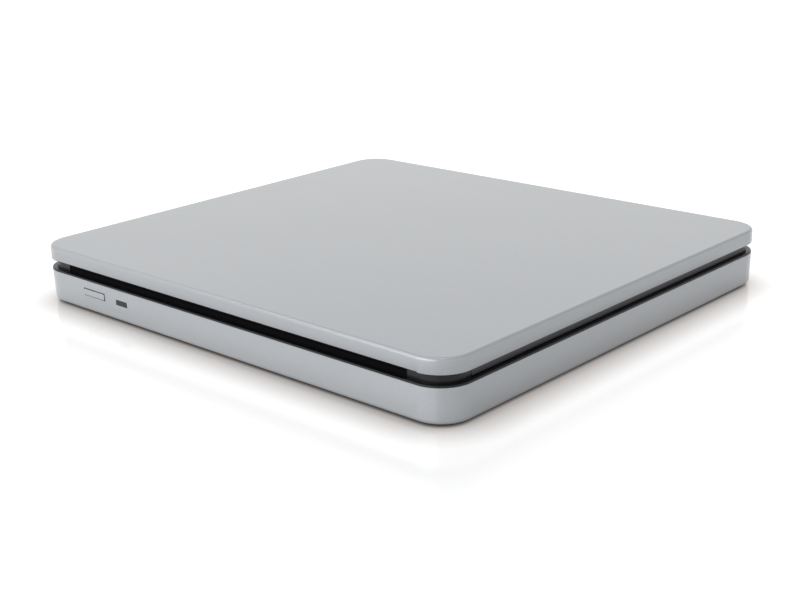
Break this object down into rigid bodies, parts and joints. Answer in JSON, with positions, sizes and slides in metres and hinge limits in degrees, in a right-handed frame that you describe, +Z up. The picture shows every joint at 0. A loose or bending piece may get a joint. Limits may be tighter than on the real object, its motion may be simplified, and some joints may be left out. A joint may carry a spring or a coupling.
{
  "type": "optical drive",
  "caption": "Slim square external optical drive with a silver cover and tray, dark middle band, front disc slot, eject button and status light.",
  "frame": {"origin": "on the surface that the feet stand on, under the middle of the case", "axes": "+Z up, -Y out of the front with the disc slot, +X to the right seen from the front"},
  "size_m": [0.1466, 0.1341, 0.0159],
  "materials": {
    "silver_case": "fine satin silver paint",
    "dark_plastic": "moulded satin dark grey",
    "rubber": "matt moulded rubber",
    "screw_steel": "zinc plated",
    "smoky_window": "smooth smoked plastic",
    "felt": "black felt",
    "circuit_board": "solder mask over glass laminate",
    "chip": "moulded epoxy",
    "socket_steel": "tin plated steel",
    "connector_plastic": "moulded",
    "light": "clear epoxy",
    "cast_metal": "die cast",
    "sheet_steel": "zinc coated sheet",
    "motor_steel": "plated can",
    "shaft_steel": "ground steel",
    "gear_plastic": "natural acetal",
    "turntable_metal": "turned",
    "lens": "polished",
    "laser_can": "gold plated can"
  },
  "bodies": {
    "root": {"top_cover": "silver_case", "bottom_case": "silver_case", "lower_frame": "dark_plastic", "upper_frame": "dark_plastic", "rubber_feet": "rubber", "damper_bushes": "rubber", "case_screws": "screw_steel", "plate_screws": "screw_steel", "drive_screws": "screw_steel", "board_screws": "screw_steel", "led_window": "smoky_window", "slot_felt_lower": "felt", "slot_felt_upper": "felt", "bridge_board": "circuit_board", "main_board": "circuit_board", "front_board": "circuit_board", "bridge_chips": "chip", "main_chips": "chip", "usb_socket": "socket_steel", "usb_tongue": "connector_plastic", "bridge_connector": "connector_plastic", "drive_connector": "connector_plastic", "flex_connectors": "connector_plastic", "eject_switch": "connector_plastic", "status_light": "light", "drive_chassis": "cast_metal", "drive_top_plate": "sheet_steel", "loading_motor": "motor_steel", "pivot_pin": "shaft_steel", "gear_pins": "shaft_steel", "arm_pivots": "shaft_steel"},
    "button": {"eject_button": "silver_case"},
    "slider": {"cam_slider": "gear_plastic"},
    "gear_one": {"first_gear": "gear_plastic"},
    "gear_two": {"second_gear": "gear_plastic"},
    "worm_shaft": {"worm": "gear_plastic"},
    "disc_pusher": {"eject_arm": "sheet_steel"},
    "disc_puller": {"loading_arm": "sheet_steel"},
    "roller": {"loading_roller": "rubber"},
    "traverse": {"traverse_frame": "sheet_steel", "spindle_base": "sheet_steel", "stator": "motor_steel", "main_rod": "shaft_steel", "sub_rod": "shaft_steel", "rod_clamps": "gear_plastic", "screw_bracket": "sheet_steel", "feed_motor": "motor_steel"},
    "spindle": {"turntable": "turntable_metal", "turntable_pad": "rubber", "disc_chuck": "gear_plastic", "chuck_claws": "gear_plastic"},
    "feed_screw": {"lead_screw": "shaft_steel"},
    "pickup": {"pickup_body": "cast_metal", "pickup_cover": "sheet_steel", "laser_diode": "laser_can", "feed_follower": "gear_plastic"},
    "lens_carrier": {"lens_holder": "gear_plastic", "objective_lens": "lens"}
  },
  "joints": [
    {"name": "eject_press", "type": "slide", "parent": "root", "child": "button", "axis": [0, 1, 0], "range_m": [0, 0.0004], "stiffness_N_per_m": 1500, "springref_m": -0.0001},
    {"name": "slider_travel", "type": "slide", "parent": "root", "child": "slider", "axis": [0, -1, 0], "range_m": [0, 0.016]},
    {"name": "gear_two_turn", "type": "hinge", "parent": "root", "child": "gear_two", "pos_m": [0.04845, -0.01, 0.004], "axis": [0, 0, 1], "range_deg": [0, 153.29]},
    {"name": "gear_one_turn", "type": "hinge", "parent": "root", "child": "gear_one", "pos_m": [0.0498, -0.01895, 0.004], "axis": [0, 0, -1], "range_deg": [0, 306.08]},
    {"name": "worm_turn", "type": "hinge", "parent": "root", "child": "worm_shaft", "pos_m": [0.0574, -0.01895, 0.006], "axis": [0, 1, 0], "range_deg": [0, 6727.7]},
    {"name": "eject_swing", "type": "hinge", "parent": "root", "child": "disc_pusher", "pos_m": [0.025, 0.0535, 0.013], "axis": [0, 0, 1], "range_deg": [0, 63]},
    {"name": "loading_swing", "type": "hinge", "parent": "root", "child": "disc_puller", "pos_m": [-0.0435, -0.0294, 0.013], "axis": [0, 0, -1], "range_deg": [0, 50.8]},
    {"name": "roller_turn", "type": "hinge", "parent": "disc_puller", "child": "roller", "pos_m": [-0.032, -0.0582, 0.011], "axis": [0, 0, 1], "continuous": true},
    {"name": "traverse_lift", "type": "hinge", "parent": "root", "child": "traverse", "pos_m": [-0.044, 0.0495, 0.0061], "axis": [0.7664, 0.6423, 0], "range_deg": [0, 1.81]},
    {"name": "spindle_turn", "type": "hinge", "parent": "traverse", "child": "spindle", "pos_m": [0, -0.003, 0.009], "axis": [0, 0, 1], "continuous": true},
    {"name": "pickup_travel", "type": "slide", "parent": "traverse", "child": "pickup", "axis": [-0.6423, 0.7664, 0], "range_m": [0, 0.035]},
    {"name": "feed_turn", "type": "hinge", "parent": "traverse", "child": "feed_screw", "pos_m": [-0.04073, 0.00201, 0.0069], "axis": [-0.6423, 0.7664, 0], "range_deg": [0, 4205]},
    {"name": "lens_focus", "type": "slide", "parent": "pickup", "child": "lens_carrier", "axis": [0, 0, 1], "range_m": [-0.0004, 0.0004], "stiffness_N_per_m": 100}
  ],
  "couplings": [
    {"joint": "gear_two_turn", "follows": "slider_travel", "rad_per_m": 166.67},
    {"joint": "gear_one_turn", "follows": "slider_travel", "rad_per_m": 333.33},
    {"joint": "worm_turn", "follows": "slider_travel", "rad_per_m": 7333.3},
    {"joint": "eject_swing", "follows": "slider_travel", "rad_per_m": 68.613},
    {"joint": "loading_swing", "follows": "slider_travel", "rad_per_m": 55.305},
    {"joint": "traverse_lift", "follows": "slider_travel", "rad_per_m": 1.9635},
    {"joint": "feed_turn", "follows": "pickup_travel", "rad_per_m": 2094.4}
  ]
}
